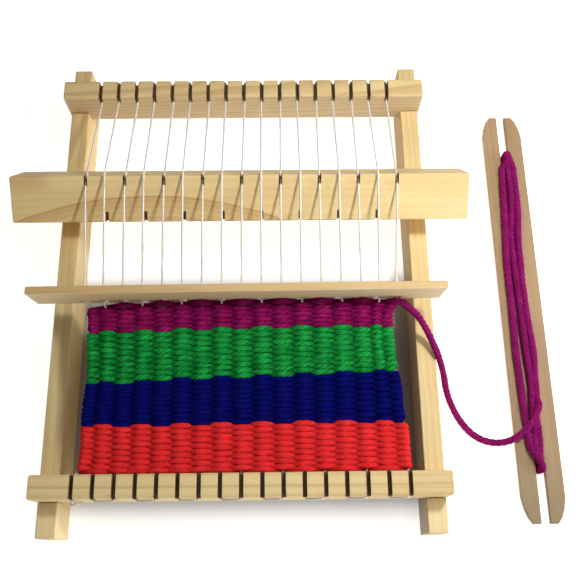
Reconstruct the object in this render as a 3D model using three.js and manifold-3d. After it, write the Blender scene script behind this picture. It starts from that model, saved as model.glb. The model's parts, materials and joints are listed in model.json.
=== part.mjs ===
// A small frame loom with its weaving begun: two uprights carry two slotted beams, one string
// zigzags between the beams as the warp, a square heddle bar stands on the uprights and spreads
// the warp, a comb beats the weft down, and a stick shuttle holds the yarn.
// Millimetres, +Z up. The loom lies on its back: X runs across it, Y along the warp, away from
// the weaver, and Z up from the table. It is laid out about the middle of the frame and then
// moved so that its origin is under the middle of its box.
import * as THREE from 'three';
import { mergeVertices } from 'three/addons/utils/BufferGeometryUtils.js';
import ManifoldModule from 'manifold-3d';

const wasm = await ManifoldModule();
wasm.setup();

// Fits, and how far a cut runs past a face
const clearance = 0.3;
const overrun = 1;

// Facets
const tubeSides = 6;
const screwSides = 14;
const knotSides = 10;
const ribSteps = 4;

// Frame
const uprightWidth = 10;
const uprightDepth = 25;
const uprightSpacing = 189;
const uprightOverhang = 17;
const uprightEase = 0.8;
const beamOverhang = 1;
const beamHeight = 11.5;
const beamDepth = 23;
const beamSpacing = 216.5;
const beamEase = 1.6;
const housingDepth = 8;
const endEase = 0.5;

// Corner screws, driven from the back of the uprights
const screwLength = 30;
const screwDiameter = 3.5;
const screwHeadDiameter = 6.8;
const screwHeadRim = 0.5;
const screwHeadHeight = 2.2;
const screwPoint = 4;
const screwRecess = 0.4;
const driveWidth = 1;
const driveLength = 3.6;
const driveDepth = 1;

// Warp and its slots
const threadCount = 17;
const slotPitch = 10;
const slotWidth = 2;
const slotDepth = 5;
const stringDiameter = 1.2;
const stringBend = 1.3;
const knotDiameter = 3.4;

// Heddle bar, standing on one arris
const heddleLength = 236.4;
const heddleShift = -0.7;
const heddleSide = 24;
const heddleEase = 0.7;
const heddleTilt = THREE.MathUtils.degToRad(33.5);
const heddleY = 41.4;
const notchWidth = 1.7;
const notchDepth = 4;

// Comb, standing across the warp at the edge of the cloth
const combLength = 202.2;
const combShift = -1.3;
const combTurn = THREE.MathUtils.degToRad(0.3);
const combHeight = 21.5;
const combThickness = 4;
const combEase = 0.4;
const combLean = THREE.MathUtils.degToRad(5.5);
const combSlotWidth = 3.4;
const combSlotDepth = 5.4;
const combGap = 0.7;
const combTravel = 30;

// Cloth: four bands of weft, listed from the lower beam up
const bandLengths = { red: 22.4, blue: 22.1, green: 23.7, magenta: 14.2 };
const clothStart = 0.6;
const clothPitch = 9.6;
const waistShare = 0.62;
const clothCrest = 2.3;
const clothValley = 1.6;
const selvedge = 1.8;

// Shuttle and its yarn
const shuttleLength = 235;
const shuttleWidth = 22.8;
const shuttleThickness = 3;
const shuttleEase = 0.4;
const shuttleTipWidth = 13;
const shuttleShoulder = 13;
const shoulderFullness = 0.88;
const shuttleSlotWidth = 4.4;
const shuttleSlotDepth = 38;
const shuttleX = 152.7;
const shuttleY = -8.8;
const yarnDiameter = 3.2;
const yarnBend = 1.6;
const upperPassGap = 3.8;
const lowerPassGap = 2.2;
const yarnSlotGap = 0.9;
const strandGap = 0.75;
const fanLength = 16;
const lastStrandEnd = -50;
const freeYarnStart = 2.6;

const stringRadius = stringDiameter / 2;
const yarnRadius = yarnDiameter / 2;

const finishes = {
  pine: { color: 0xdfc08a, roughness: 0.62, metalness: 0 },
  comb: { color: 0xd9b679, roughness: 0.62, metalness: 0 },
  shuttle: { color: 0xb8976a, roughness: 0.68, metalness: 0 },
  steel: { color: 0xb9b7ad, roughness: 0.35, metalness: 1 },
  string: { color: 0xece4cf, roughness: 0.9, metalness: 0 },
  red: { color: 0xcf2a2c, roughness: 0.95, metalness: 0 },
  blue: { color: 0x0d1068, roughness: 0.95, metalness: 0 },
  green: { color: 0x17863a, roughness: 0.95, metalness: 0 },
  magenta: { color: 0x8b1165, roughness: 0.95, metalness: 0 },
};

const materials = Object.fromEntries(
  Object.entries(finishes).map(([name, finish]) => [name, new THREE.MeshStandardMaterial(finish)]),
);

const axisX = new THREE.Vector3(1, 0, 0);
const axisY = new THREE.Vector3(0, 1, 0);
const axisZ = new THREE.Vector3(0, 0, 1);
const alongX = new THREE.Matrix4().makeBasis(axisY, axisZ, axisX);
const alongY = new THREE.Matrix4().makeBasis(axisZ, axisX, axisY);
const facingFront = new THREE.Matrix4().makeRotationX(Math.PI / 2);

const loom = new THREE.Group();

function addPiece(name, geometry, finish, group = loom) {
  const mesh = new THREE.Mesh(geometry, materials[finish]);
  mesh.name = name;
  group.add(mesh);
  return mesh;
}

// Solids for cutting and joining

function solidOf(geometry) {
  const bare = geometry.clone();
  bare.deleteAttribute('normal');
  bare.deleteAttribute('uv');
  const welded = mergeVertices(bare, 1e-5);
  return new wasm.Manifold(new wasm.Mesh({
    numProp: 3,
    vertProperties: Float32Array.from(welded.attributes.position.array),
    triVerts: Uint32Array.from(welded.index.array),
  }));
}

function geometryOf(solid) {
  const mesh = solid.getMesh();
  const geometry = new THREE.BufferGeometry();
  geometry.setAttribute('position', new THREE.BufferAttribute(mesh.vertProperties, 3));
  geometry.setIndex(new THREE.BufferAttribute(mesh.triVerts, 1));
  geometry.computeVertexNormals();
  return geometry;
}

function cut(geometry, tools) {
  return geometryOf(tools.reduce((body, tool) => body.subtract(solidOf(tool)), solidOf(geometry)));
}

function join(geometries) {
  return geometryOf(geometries.map(solidOf).reduce((body, other) => body.add(other)));
}

function block(width, length, height, x, y, z) {
  return new THREE.BoxGeometry(width, length, height).translate(x, y, z);
}

// A bar with its long edges rounded and its ends eased, about the middle of its length
function easedBar(length, width, height, ease, direction) {
  const w = width / 2;
  const h = height / 2;
  const section = new THREE.Shape();
  section.absarc(w - ease, h - ease, ease, 0, Math.PI / 2);
  section.absarc(ease - w, h - ease, ease, Math.PI / 2, Math.PI);
  section.absarc(ease - w, ease - h, ease, Math.PI, 1.5 * Math.PI);
  section.absarc(w - ease, ease - h, ease, 1.5 * Math.PI, 2 * Math.PI);
  return easedPlate(section, length, endEase).applyMatrix4(direction);
}

// An outline given a thickness about its plane, with the edges of both faces eased
function easedPlate(outline, thickness, ease) {
  const plate = new THREE.ExtrudeGeometry(outline, {
    depth: thickness - 2 * ease,
    curveSegments: 3,
    bevelThickness: ease,
    bevelSize: ease,
    bevelOffset: -ease,
    bevelSegments: 1,
  });
  return plate.translate(0, 0, ease - thickness / 2);
}

// Tubes

// The corners of a route, each rounded by a short curve that starts its bend before the corner
function roundedRoute(corners, bend) {
  const route = [corners[0]];
  const slightTurn = 0.15;
  const sharpTurn = 0.8;
  const mostOfRun = 0.45;
  for (let i = 1; i < corners.length - 1; i += 1) {
    const before = corners[i - 1].clone().sub(corners[i]);
    const after = corners[i + 1].clone().sub(corners[i]);
    const turn = Math.PI - before.angleTo(after);
    if (turn < slightTurn) {
      route.push(corners[i]);
    } else {
      const reach = Math.min(bend, mostOfRun * before.length(), mostOfRun * after.length());
      const curve = new THREE.QuadraticBezierCurve3(
        corners[i].clone().addScaledVector(before.normalize(), reach),
        corners[i],
        corners[i].clone().addScaledVector(after.normalize(), reach),
      );
      route.push(...curve.getPoints(turn > sharpTurn ? 4 : 2));
    }
  }
  route.push(corners.at(-1));
  return route;
}

// A closed tube of rings square to a route, its section carried along without twist
function tubeAlong(route, radius, sides) {
  const positions = [];
  const index = [];
  let across = null;
  route.forEach((point, i) => {
    const ahead = route[Math.min(i + 1, route.length - 1)];
    const behind = route[Math.max(i - 1, 0)];
    const tangent = ahead.clone().sub(behind).normalize();
    const start = across ?? (Math.abs(tangent.z) < 0.9 ? axisZ : axisX);
    across = start.clone().addScaledVector(tangent, -start.dot(tangent)).normalize();
    const sideways = tangent.clone().cross(across);
    for (let s = 0; s < sides; s += 1) {
      const angle = (2 * Math.PI * s) / sides;
      const rim = point.clone()
        .addScaledVector(across, radius * Math.cos(angle))
        .addScaledVector(sideways, radius * Math.sin(angle));
      positions.push(rim.x, rim.y, rim.z);
    }
    for (let s = 0; i > 0 && s < sides; s += 1) {
      const a = (i - 1) * sides + s;
      const b = (i - 1) * sides + ((s + 1) % sides);
      index.push(a, b, b + sides, a, b + sides, a + sides);
    }
  });
  const last = (route.length - 1) * sides;
  for (let s = 1; s < sides - 1; s += 1) {
    index.push(0, s + 1, s);
    index.push(last, last + s, last + s + 1);
  }
  const geometry = new THREE.BufferGeometry();
  geometry.setAttribute('position', new THREE.Float32BufferAttribute(positions, 3));
  geometry.setIndex(index);
  geometry.computeVertexNormals();
  return geometry;
}

// The least gap between two stretches of one tube that are not next to each other on it
function leastGap(route, diameter) {
  const neighbourhood = 4 * diameter;
  const spaced = [];
  let travelled = 0;
  for (let i = 1; i < route.length; i += 1) {
    const run = route[i].distanceTo(route[i - 1]);
    const steps = Math.max(1, Math.ceil(run / (diameter / 3)));
    for (let s = 0; s < steps; s += 1) {
      const point = route[i - 1].clone().lerp(route[i], s / steps);
      spaced.push({ point, at: travelled + (run * s) / steps });
    }
    travelled += run;
  }
  let least = Infinity;
  spaced.forEach((one, i) => {
    for (let j = i + 1; j < spaced.length; j += 1) {
      if (spaced[j].at - one.at > neighbourhood) {
        least = Math.min(least, one.point.distanceTo(spaced[j].point));
      }
    }
  });
  return least - diameter;
}

// Places that several pieces share

const housingFloor = uprightDepth - housingDepth;
const beamBack = housingFloor + clearance;
const beamFront = beamBack + beamDepth;
const slotFloor = beamFront - slotDepth;
const beamInner = (beamSpacing - beamHeight) / 2;
const beamOuter = (beamSpacing + beamHeight) / 2;
const uprightLength = beamSpacing + beamHeight + 2 * uprightOverhang;
const beamLength = uprightSpacing + uprightWidth + 2 * beamOverhang;

function slotX(i) {
  return (i - (threadCount - 1) / 2) * slotPitch;
}

const indices = Array.from({ length: threadCount }, (_, i) => i);

// The heddle's arris that carries the warp, and the way out from its middle to that arris
const heddleRadius = heddleSide * Math.SQRT1_2;
const heddleZ = uprightDepth + clearance + heddleRadius * Math.cos(heddleTilt - Math.PI / 4);
const arrisWay = new THREE.Vector3(0, Math.SQRT1_2, Math.SQRT1_2).applyAxisAngle(axisX, heddleTilt);
const arris = new THREE.Vector3(0, heddleY, heddleZ).addScaledVector(arrisWay, heddleRadius);

// The warp lies on the floors of the slots. From the lower beam's inner face it rises in one plane to the
// fell, where the cloth ends; from there even threads go to the heddle's notches and odd ones over its lands
const turnY = beamOuter + clearance + stringRadius;
const turnZ = slotFloor + clearance + stringRadius;
const clothLength = Object.values(bandLengths).reduce((sum, length) => sum + length, 0);
const clothY = -beamInner + clothStart;
const fellY = clothY + clothLength;
const threadLift = clearance + stringRadius;
const landPoint = arris.clone().addScaledVector(arrisWay, threadLift);
const notchFloorWay = arrisWay.clone().cross(axisX);
const notchMiddle = arris.clone().addScaledVector(arrisWay, threadLift - notchDepth);
const notchFront = notchMiddle.clone().addScaledVector(notchFloorWay, -notchDepth);
const notchBack = notchMiddle.clone().addScaledVector(notchFloorWay, notchDepth);
const warpRise = ((landPoint.z + notchFront.z) / 2 - turnZ) / (arris.y + beamInner);

function warpZ(y) {
  return turnZ + warpRise * (y + beamInner);
}

// Between the lower beam and the fell the weft draws the threads together, most of all at the waist
const drawIn = (1 - clothPitch / slotPitch) / (2 * waistShare - 1);

function clothScale(y) {
  const share = (y + beamInner) / (fellY + beamInner);
  return 1 - drawIn * (2 * waistShare * share - share * share);
}

// Where each band of weft starts, from the lower beam up
const bandStarts = {};
let bandStart = clothY;
for (const [colour, length] of Object.entries(bandLengths)) {
  bandStarts[colour] = bandStart;
  bandStart += length;
}

// Frame

function screwProfile(grow) {
  const head = screwHeadDiameter / 2 + grow;
  const shank = screwDiameter / 2 + grow;
  const profile = [
    [0, -grow],
    [head, -grow],
    [head, screwHeadRim],
    [shank, screwHeadHeight],
    [shank, screwLength - screwPoint],
    [0, screwLength + grow],
  ];
  return profile.map(([x, y]) => new THREE.Vector2(x, y));
}

function screwShape(grow) {
  return new THREE.LatheGeometry(screwProfile(grow), screwSides)
    .rotateX(Math.PI / 2)
    .translate(0, 0, screwRecess);
}

const corners = [];
for (const [end, beamY] of [['upper', beamSpacing / 2], ['lower', -beamSpacing / 2]]) {
  for (const [side, x] of [['left', -uprightSpacing / 2], ['right', uprightSpacing / 2]]) {
    corners.push({ end, side, x, y: beamY });
  }
}

// The bore for a screw, run out through the back face
function screwBore({ x, y }) {
  const bore = screwShape(clearance);
  const mouth = new THREE.CylinderGeometry(
    screwHeadDiameter / 2 + clearance,
    screwHeadDiameter / 2 + clearance,
    2 * (screwRecess + screwHeadRim),
    screwSides,
  ).rotateX(Math.PI / 2);
  return join([bore, mouth]).translate(x, y, 0);
}

for (const [side, x] of [['left', -uprightSpacing / 2], ['right', uprightSpacing / 2]]) {
  const bar = easedBar(uprightLength, uprightDepth, uprightWidth, uprightEase, alongY)
    .translate(x, 0, uprightDepth / 2);
  const housings = [-1, 1].map((end) => block(
    uprightWidth + 2 * overrun,
    beamHeight + 2 * clearance,
    2 * housingDepth,
    x,
    (end * beamSpacing) / 2,
    uprightDepth,
  ));
  const bores = corners.filter((corner) => corner.side === side).map(screwBore);
  addPiece(`${side}_upright`, cut(bar, [...housings, ...bores]), 'pine');
}

for (const [end, y] of [['upper', beamSpacing / 2], ['lower', -beamSpacing / 2]]) {
  const bar = easedBar(beamLength, beamHeight, beamDepth, beamEase, alongX)
    .translate(0, y, (beamBack + beamFront) / 2);
  const slots = indices.map((i) => block(
    slotWidth,
    beamHeight + 2 * overrun,
    2 * slotDepth,
    slotX(i),
    y,
    beamFront,
  ));
  const bores = corners.filter((corner) => corner.end === end).map(screwBore);
  addPiece(`${end}_beam`, cut(bar, [...slots, ...bores]), 'pine');
}

for (const { end, side, x, y } of corners) {
  const drive = [0, Math.PI / 2].map((turn) => (
    block(driveLength, driveWidth, 2 * driveDepth, 0, 0, screwRecess).rotateZ(turn)
  ));
  addPiece(`${end}_${side}_screw`, cut(screwShape(0), drive).translate(x, y, 0), 'steel');
}

// Heddle bar: notches for the even threads along one arris, and for the odd ones along the next

function arrisNotch(x, sideOfFace) {
  return new THREE.BoxGeometry(notchWidth, heddleSide, 2 * notchDepth)
    .translate(0, 0, heddleRadius)
    .rotateX(-sideOfFace * Math.PI / 4)
    .translate(x, 0, 0);
}

const heddle = new THREE.Group();
heddle.position.set(0, heddleY, heddleZ);
heddle.rotation.x = heddleTilt;
loom.add(heddle);
const heddleNotches = indices.map((i) => arrisNotch(slotX(i), i % 2 === 0 ? 1 : -1));
const heddleBar = easedBar(heddleLength, heddleSide, heddleSide, heddleEase, alongX)
  .translate(heddleShift, 0, 0);
addPiece('heddle_bar', cut(heddleBar, heddleNotches), 'pine', heddle);

// Comb: a slat with a slot over each thread, leaning back over the cloth. The threads spread towards
// the heddle, so the slots stand where the threads are at the middle of the comb's travel.

const combY = fellY + combGap;
const combShare = (combY + combThickness / 2 - fellY) / (landPoint.y - fellY);
const midTravelShare = combShare + combTravel / 2 / (landPoint.y - fellY);
const combPitch = THREE.MathUtils.lerp(clothPitch, slotPitch, midTravelShare);
const threadAtComb = THREE.MathUtils.lerp(warpZ(fellY), landPoint.z, combShare);

function combOutline() {
  const outline = new THREE.Shape();
  const left = combShift - combLength / 2;
  const right = combShift + combLength / 2;
  outline.moveTo(left, combHeight);
  outline.lineTo(left, 0);
  for (const i of indices) {
    const x = (slotX(i) / slotPitch) * combPitch;
    outline.lineTo(x - combSlotWidth / 2, 0);
    outline.lineTo(x - combSlotWidth / 2, combSlotDepth);
    outline.lineTo(x + combSlotWidth / 2, combSlotDepth);
    outline.lineTo(x + combSlotWidth / 2, 0);
  }
  outline.lineTo(right, 0);
  outline.lineTo(right, combHeight);
  return outline;
}

const comb = new THREE.Group();
comb.position.set(0, combY, threadAtComb + threadLift - combSlotDepth);
comb.rotation.set(combLean, 0, combTurn);
loom.add(comb);
const combPlate = easedPlate(combOutline(), combThickness, combEase)
  .applyMatrix4(facingFront)
  .translate(0, combThickness / 2, 0);
addPiece('beater_comb', combPlate, 'comb', comb);

// Warp: one string, knotted at the lower left slot and at the upper right one

function warpCorners() {
  const route = [];
  const knotY = beamOuter + clearance + knotDiameter / 2;
  for (const i of indices) {
    const x = slotX(i);
    const first = i === 0;
    const last = i === threadCount - 1;
    const held = i % 2 === 0 ? [notchFront, notchBack] : [landPoint];
    const inCloth = [-beamInner, ...Object.values(bandStarts), fellY];
    const pass = [
      new THREE.Vector3(x, first ? -knotY : -turnY, turnZ),
      ...inCloth.map((y) => new THREE.Vector3(x * clothScale(y), y, warpZ(y))),
      ...held.map(({ y, z }) => new THREE.Vector3(x, y, z)),
      new THREE.Vector3(x, beamInner, turnZ),
      new THREE.Vector3(x, last ? knotY : turnY, turnZ),
    ];
    route.push(...(i % 2 === 0 ? pass : pass.reverse()));
  }
  return route;
}

const warpRoute = roundedRoute(warpCorners(), stringBend);
const knots = [warpRoute[0], warpRoute.at(-1)].map(({ x, y, z }) => (
  new THREE.SphereGeometry(knotDiameter / 2, knotSides, knotSides).translate(x, y, z)
));
addPiece('warp_string', join([tubeAlong(warpRoute, stringRadius, tubeSides), ...knots]), 'string');
console.log(`warp_string: least gap to itself ${leastGap(warpRoute, stringDiameter).toFixed(2)} mm`);

// Cloth: ribbed bands with a tunnel for each thread, laid along the warp's plane and drawn in with it

function clothSection() {
  const ends = [slotX(0), slotX(threadCount - 1)];
  const section = new THREE.Shape();
  const ribs = ribSteps * (threadCount - 1);
  const crown = (n) => {
    const swell = Math.cos((Math.PI * n) / ribSteps) ** 2;
    return clothValley + (clothCrest - clothValley) * swell;
  };
  section.absellipse(ends[0], 0, selvedge, clothCrest, 0.5 * Math.PI, 1.5 * Math.PI);
  for (let n = 1; n < ribs; n += 1) {
    section.lineTo(ends[0] + (n * slotPitch) / ribSteps, -crown(n));
  }
  section.absellipse(ends[1], 0, selvedge, clothCrest, -0.5 * Math.PI, 0.5 * Math.PI);
  for (let n = ribs - 1; n > 0; n -= 1) {
    section.lineTo(ends[0] + (n * slotPitch) / ribSteps, crown(n));
  }
  const tunnelRadius = (stringRadius + clearance) / Math.cos(Math.PI / tubeSides);
  for (const i of indices) {
    const tunnel = new THREE.Path();
    for (let s = 0; s < tubeSides; s += 1) {
      const angle = (-2 * Math.PI * s) / tubeSides;
      const rim = [slotX(i) + tunnelRadius * Math.cos(angle), tunnelRadius * Math.sin(angle)];
      if (s === 0) tunnel.moveTo(...rim);
      else tunnel.lineTo(...rim);
    }
    tunnel.closePath();
    section.holes.push(tunnel);
  }
  return section;
}

function clothBand(from, to) {
  const band = new THREE.ExtrudeGeometry(clothSection(), {
    depth: to - from,
    curveSegments: 5,
    bevelEnabled: false,
  }).applyMatrix4(facingFront).translate(0, to, 0);
  const place = band.attributes.position;
  for (let v = 0; v < place.count; v += 1) {
    const y = place.getY(v);
    place.setX(v, place.getX(v) * clothScale(y));
    place.setZ(v, place.getZ(v) + warpZ(y));
  }
  band.computeVertexNormals();
  return band;
}

for (const [colour, length] of Object.entries(bandLengths)) {
  const from = bandStarts[colour];
  addPiece(`weft_band_${colour}`, clothBand(from, from + length - clearance), colour);
}

// Shuttle: a thin stick with rounded shoulders and a slot in each end

const shuttleFace = shuttleThickness / 2;
const strandLift = shuttleFace + clearance + yarnRadius;
const shuttleZ = strandLift + yarnRadius;

function shuttleOutline() {
  const half = shuttleLength / 2;
  const w = shuttleWidth / 2;
  const tip = shuttleTipWidth / 2;
  const slot = shuttleSlotWidth / 2;
  const slotEnd = half - shuttleSlotDepth + slot;
  const full = shoulderFullness * w;
  const bulge = half - shuttleShoulder / 4;
  const outline = new THREE.Shape();
  outline.moveTo(w, shuttleShoulder - half);
  outline.lineTo(w, half - shuttleShoulder);
  outline.quadraticCurveTo(full, bulge, tip, half);
  outline.lineTo(slot, half);
  outline.absarc(0, slotEnd, slot, 0, -Math.PI, true);
  outline.lineTo(-slot, half);
  outline.lineTo(-tip, half);
  outline.quadraticCurveTo(-full, bulge, -w, half - shuttleShoulder);
  outline.lineTo(-w, shuttleShoulder - half);
  outline.quadraticCurveTo(-full, -bulge, -tip, -half);
  outline.lineTo(-slot, -half);
  outline.absarc(0, -slotEnd, slot, Math.PI, 0, true);
  outline.lineTo(slot, -half);
  outline.lineTo(tip, -half);
  outline.quadraticCurveTo(full, -bulge, w, shuttleShoulder - half);
  return outline;
}

const shuttle = new THREE.Group();
shuttle.position.set(shuttleX, shuttleY, shuttleZ);
loom.add(shuttle);
addPiece('stick_shuttle', easedPlate(shuttleOutline(), shuttleThickness, shuttleEase), 'shuttle', shuttle);

// Yarn on the shuttle: three turns wound lengthwise through the end slots, each pass through a slot
// further out than the last. Strands lie side by side, the first on the left and the last on the right,
// and the last front strand stops short of the lower slot, where the free yarn goes on.

const firstPass = shuttleLength / 2 - shuttleSlotDepth + yarnRadius + yarnSlotGap + clearance;
const upperPitch = yarnDiameter + upperPassGap;
const lowerPitch = yarnDiameter + lowerPassGap;
const passOffset = shuttleSlotWidth / 2 - yarnRadius - clearance;
const passX = [-passOffset, 0, passOffset];
const strandPitch = yarnDiameter + strandGap;
const byFirstPass = [0, strandPitch, 2 * strandPitch];
const besidePass = byFirstPass[2] - 0.75 * strandPitch;
const frontTop = [-4.9, -4.9 + strandPitch, -4.9 + 2 * strandPitch];
const frontLow = [-6, -6 + strandPitch, -6 + 2 * strandPitch];
const backLow = [-7.2, -3, 2.9];

function upperPass(k) {
  return firstPass + k * upperPitch;
}

function lowerPass(k) {
  return -firstPass - k * lowerPitch;
}

function windingCorners() {
  const route = [];
  const at = (x, y, z) => route.push(new THREE.Vector3(x, y, z));
  const back = -strandLift;
  const front = strandLift;
  const fan = firstPass - fanLength;
  passX.forEach((x, k) => {
    // up the back to the upper slot
    at(backLow[k], -fan, back);
    at(frontTop[k], fan, back);
    if (k > 0) at(byFirstPass[k], firstPass, back);
    if (k > 1) at(besidePass, upperPass(k - 1), back);
    at(x, upperPass(k), back);
    // through it and down the front
    at(x, upperPass(k), front);
    if (k > 1) at(besidePass, upperPass(k - 1), front);
    if (k > 0) at(byFirstPass[k], firstPass, front);
    at(frontTop[k], fan, front);
    if (k === passX.length - 1) {
      at(frontLow[k], lastStrandEnd, front);
      return;
    }
    // through the lower slot to the back
    at(frontLow[k], -fan, front);
    if (k > 0) at(byFirstPass[k], -firstPass, front);
    at(x, lowerPass(k), front);
    at(x, lowerPass(k), back);
    if (k > 0) at(byFirstPass[k], -firstPass, back);
  });
  return route;
}

const windingRoute = roundedRoute(windingCorners(), yarnBend);
addPiece('shuttle_winding', tubeAlong(windingRoute, yarnRadius, tubeSides), 'magenta', shuttle);
console.log(`shuttle_winding: least gap to itself ${leastGap(windingRoute, yarnDiameter).toFixed(2)} mm`);

// The part stands with its origin under the middle of its box, the free yarn left out
loom.updateMatrixWorld(true);
const box = new THREE.Box3().setFromObject(loom);
const middle = box.getCenter(new THREE.Vector3());

// Free yarn: from the right end of the last pick over the right upright, down to the table,
// and over the strands on the shuttle to the last of them. Points chosen by hand.
const bandEdge = slotX(threadCount - 1) * clothScale(fellY) + selvedge + clearance;
const lastPickY = fellY - freeYarnStart;
const lastPickZ = warpZ(lastPickY);
const windingEnd = shuttle.localToWorld(windingRoute.at(-1).clone());
const windingWay = new THREE.Vector3(0, -1, 0);
const tailRoute = [
  new THREE.Vector3(bandEdge, lastPickY, lastPickZ),
  new THREE.Vector3(bandEdge + yarnDiameter, lastPickY, lastPickZ - clearance),
  new THREE.Vector3(83.5, -23.2, 45.2),
  new THREE.Vector3(88.6, -26, 40.4),
  new THREE.Vector3(93, -30.6, 35.2),
  new THREE.Vector3(96.8, -36.4, 30.6),
  new THREE.Vector3(99.9, -42.6, 27.6),
  new THREE.Vector3(102.6, -48, 22),
  new THREE.Vector3(105.2, -52, 13.6),
  new THREE.Vector3(107.4, -56.2, 5.6),
  new THREE.Vector3(109.6, -62.4, 2.1),
  new THREE.Vector3(113.4, -71.4, 1.75),
  new THREE.Vector3(119, -79, 1.75),
  new THREE.Vector3(125.6, -83.6, 2.9),
  new THREE.Vector3(132.4, -85.4, 6),
  new THREE.Vector3(138.8, -84.4, 9.4),
  new THREE.Vector3(145, -80.4, 12.1),
  new THREE.Vector3(150.2, -74.6, 12.2),
  windingEnd.clone().addScaledVector(windingWay, 2.5 * yarnDiameter).setZ(windingEnd.z + 0.6 * yarnDiameter),
  windingEnd.clone().addScaledVector(windingWay, 1.3 * yarnDiameter),
  windingEnd.clone().addScaledVector(windingWay, clearance),
];
const tailSection = new THREE.Shape();
tailSection.absarc(0, 0, yarnRadius, 0, 2 * Math.PI);
const tailPath = new THREE.CatmullRomCurve3(tailRoute, false, 'centripetal');
const tailSteps = Math.round(tailPath.getLength() / (2 * yarnDiameter));
const tail = new THREE.ExtrudeGeometry(tailSection, {
  steps: tailSteps,
  curveSegments: 4,
  extrudePath: tailPath,
  bevelEnabled: false,
});
addPiece('weft_tail', tail, 'magenta');
console.log(`weft_tail: length ${tailPath.getLength().toFixed(1)} mm`);

loom.position.set(-middle.x, -middle.y, -box.min.z);

export default loom;
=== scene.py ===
"""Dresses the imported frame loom: yarn, cloth, warp, wooden pieces, shuttle, winding and a plain stage."""

import json
import math

import bpy
import numpy as np
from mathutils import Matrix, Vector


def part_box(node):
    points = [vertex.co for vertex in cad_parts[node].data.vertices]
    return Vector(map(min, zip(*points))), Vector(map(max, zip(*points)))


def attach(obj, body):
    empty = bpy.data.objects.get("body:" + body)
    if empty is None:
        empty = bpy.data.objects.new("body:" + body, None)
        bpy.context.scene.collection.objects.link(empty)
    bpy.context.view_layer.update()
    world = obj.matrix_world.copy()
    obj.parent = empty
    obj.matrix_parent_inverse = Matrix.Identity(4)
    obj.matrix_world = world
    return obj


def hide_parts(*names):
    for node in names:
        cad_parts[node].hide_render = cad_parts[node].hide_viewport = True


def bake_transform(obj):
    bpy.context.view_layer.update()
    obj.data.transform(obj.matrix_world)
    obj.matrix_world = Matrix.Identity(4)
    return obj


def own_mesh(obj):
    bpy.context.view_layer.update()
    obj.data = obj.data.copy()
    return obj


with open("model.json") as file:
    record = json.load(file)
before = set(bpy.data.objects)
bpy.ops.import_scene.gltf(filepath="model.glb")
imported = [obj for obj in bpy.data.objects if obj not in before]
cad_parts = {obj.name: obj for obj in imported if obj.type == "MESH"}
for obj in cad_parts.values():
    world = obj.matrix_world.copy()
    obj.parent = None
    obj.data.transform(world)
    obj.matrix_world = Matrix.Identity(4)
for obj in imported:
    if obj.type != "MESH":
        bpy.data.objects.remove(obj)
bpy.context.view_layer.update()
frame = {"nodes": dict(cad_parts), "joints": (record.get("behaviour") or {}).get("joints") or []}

bl_info = {
    "name": "Frame loom",
    "version": (1, 0, 0),
    "blender": (4, 5, 0),
    "location": "View3D > Sidebar > Loom",
    "description": "Dresses a packed frame loom with yarn, string, wood and a stage",
    "category": "Object",
}

MM = 0.001


def corners_of(node):
    """The lowest and highest corner of a CAD node, in millimetres."""
    low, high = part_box(node)
    return np.array(low) / MM, np.array(high) / MM


# Places that several pieces share, in millimetres

LEFT, RIGHT = corners_of("left_upright"), corners_of("right_upright")
UPPER, LOWER = corners_of("upper_beam"), corners_of("lower_beam")
LOOM_X = (LEFT[0][0] + RIGHT[1][0]) / 2
THREADS = 17
PITCH = 10.0
STRING = 1.2
FIT = 0.3
SLOT_FLOOR = UPPER[1][2] - 5.0
TURN_Y = UPPER[1][1] + FIT + STRING / 2
TURN_Z = SLOT_FLOOR + FIT + STRING / 2
BEAM_INNER = UPPER[0][1]
FELL_Y = -19.5
HEDDLE_Y, HEDDLE_Z = (value / MM for value in frame["joints"][0]["pos_m"][1:])
HEDDLE_SIDE = 24.0
HEDDLE_TILT = math.radians(33.5)
NOTCH_DEPTH = 4.0
TILT_COS, TILT_SIN = math.cos(HEDDLE_TILT), math.sin(HEDDLE_TILT)
TO_ARRIS = np.array([TILT_COS - TILT_SIN, TILT_COS + TILT_SIN]) / math.sqrt(2)
ALONG_NOTCH = np.array([TO_ARRIS[1], -TO_ARRIS[0]])
ARRIS = np.array([HEDDLE_Y, HEDDLE_Z]) + TO_ARRIS * HEDDLE_SIDE / math.sqrt(2)
LAND = ARRIS + (FIT + STRING / 2) * TO_ARRIS
NOTCH_FRONT = LAND - NOTCH_DEPTH * (TO_ARRIS + ALONG_NOTCH)
NOTCH_BACK = LAND - NOTCH_DEPTH * (TO_ARRIS - ALONG_NOTCH)
WARP_RISE = ((LAND[1] + NOTCH_FRONT[1]) / 2 - TURN_Z) / (ARRIS[0] + BEAM_INNER)
SHUTTLE_AT = np.array([152.7 + LOOM_X, -8.8, 5.0])
# Colour of the painted shade in the saw cuts, in the notches and on the string under the weft
SLOT_SHADE = (0.20, 0.105, 0.045)
SLOTS_REACH = (81.5, 82.0)
UP = (0.0, 0.0, 1.0)
YARN_NEST, STRING_NEST = 0.55, 0.7
STRING_PLIES = 3
YARN_STEP, STRING_STEP = 0.7, 0.6
RING_WANDER = 2.2
ZINC_DARK, ZINC_LIGHT = (0.42, 0.42, 0.4), (0.64, 0.63, 0.59)


def warp_height(y):
    """The warp's plane: a straight rise from the lower beam's inner face."""
    return TURN_Z + WARP_RISE * (y + BEAM_INNER)


# Curves


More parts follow.
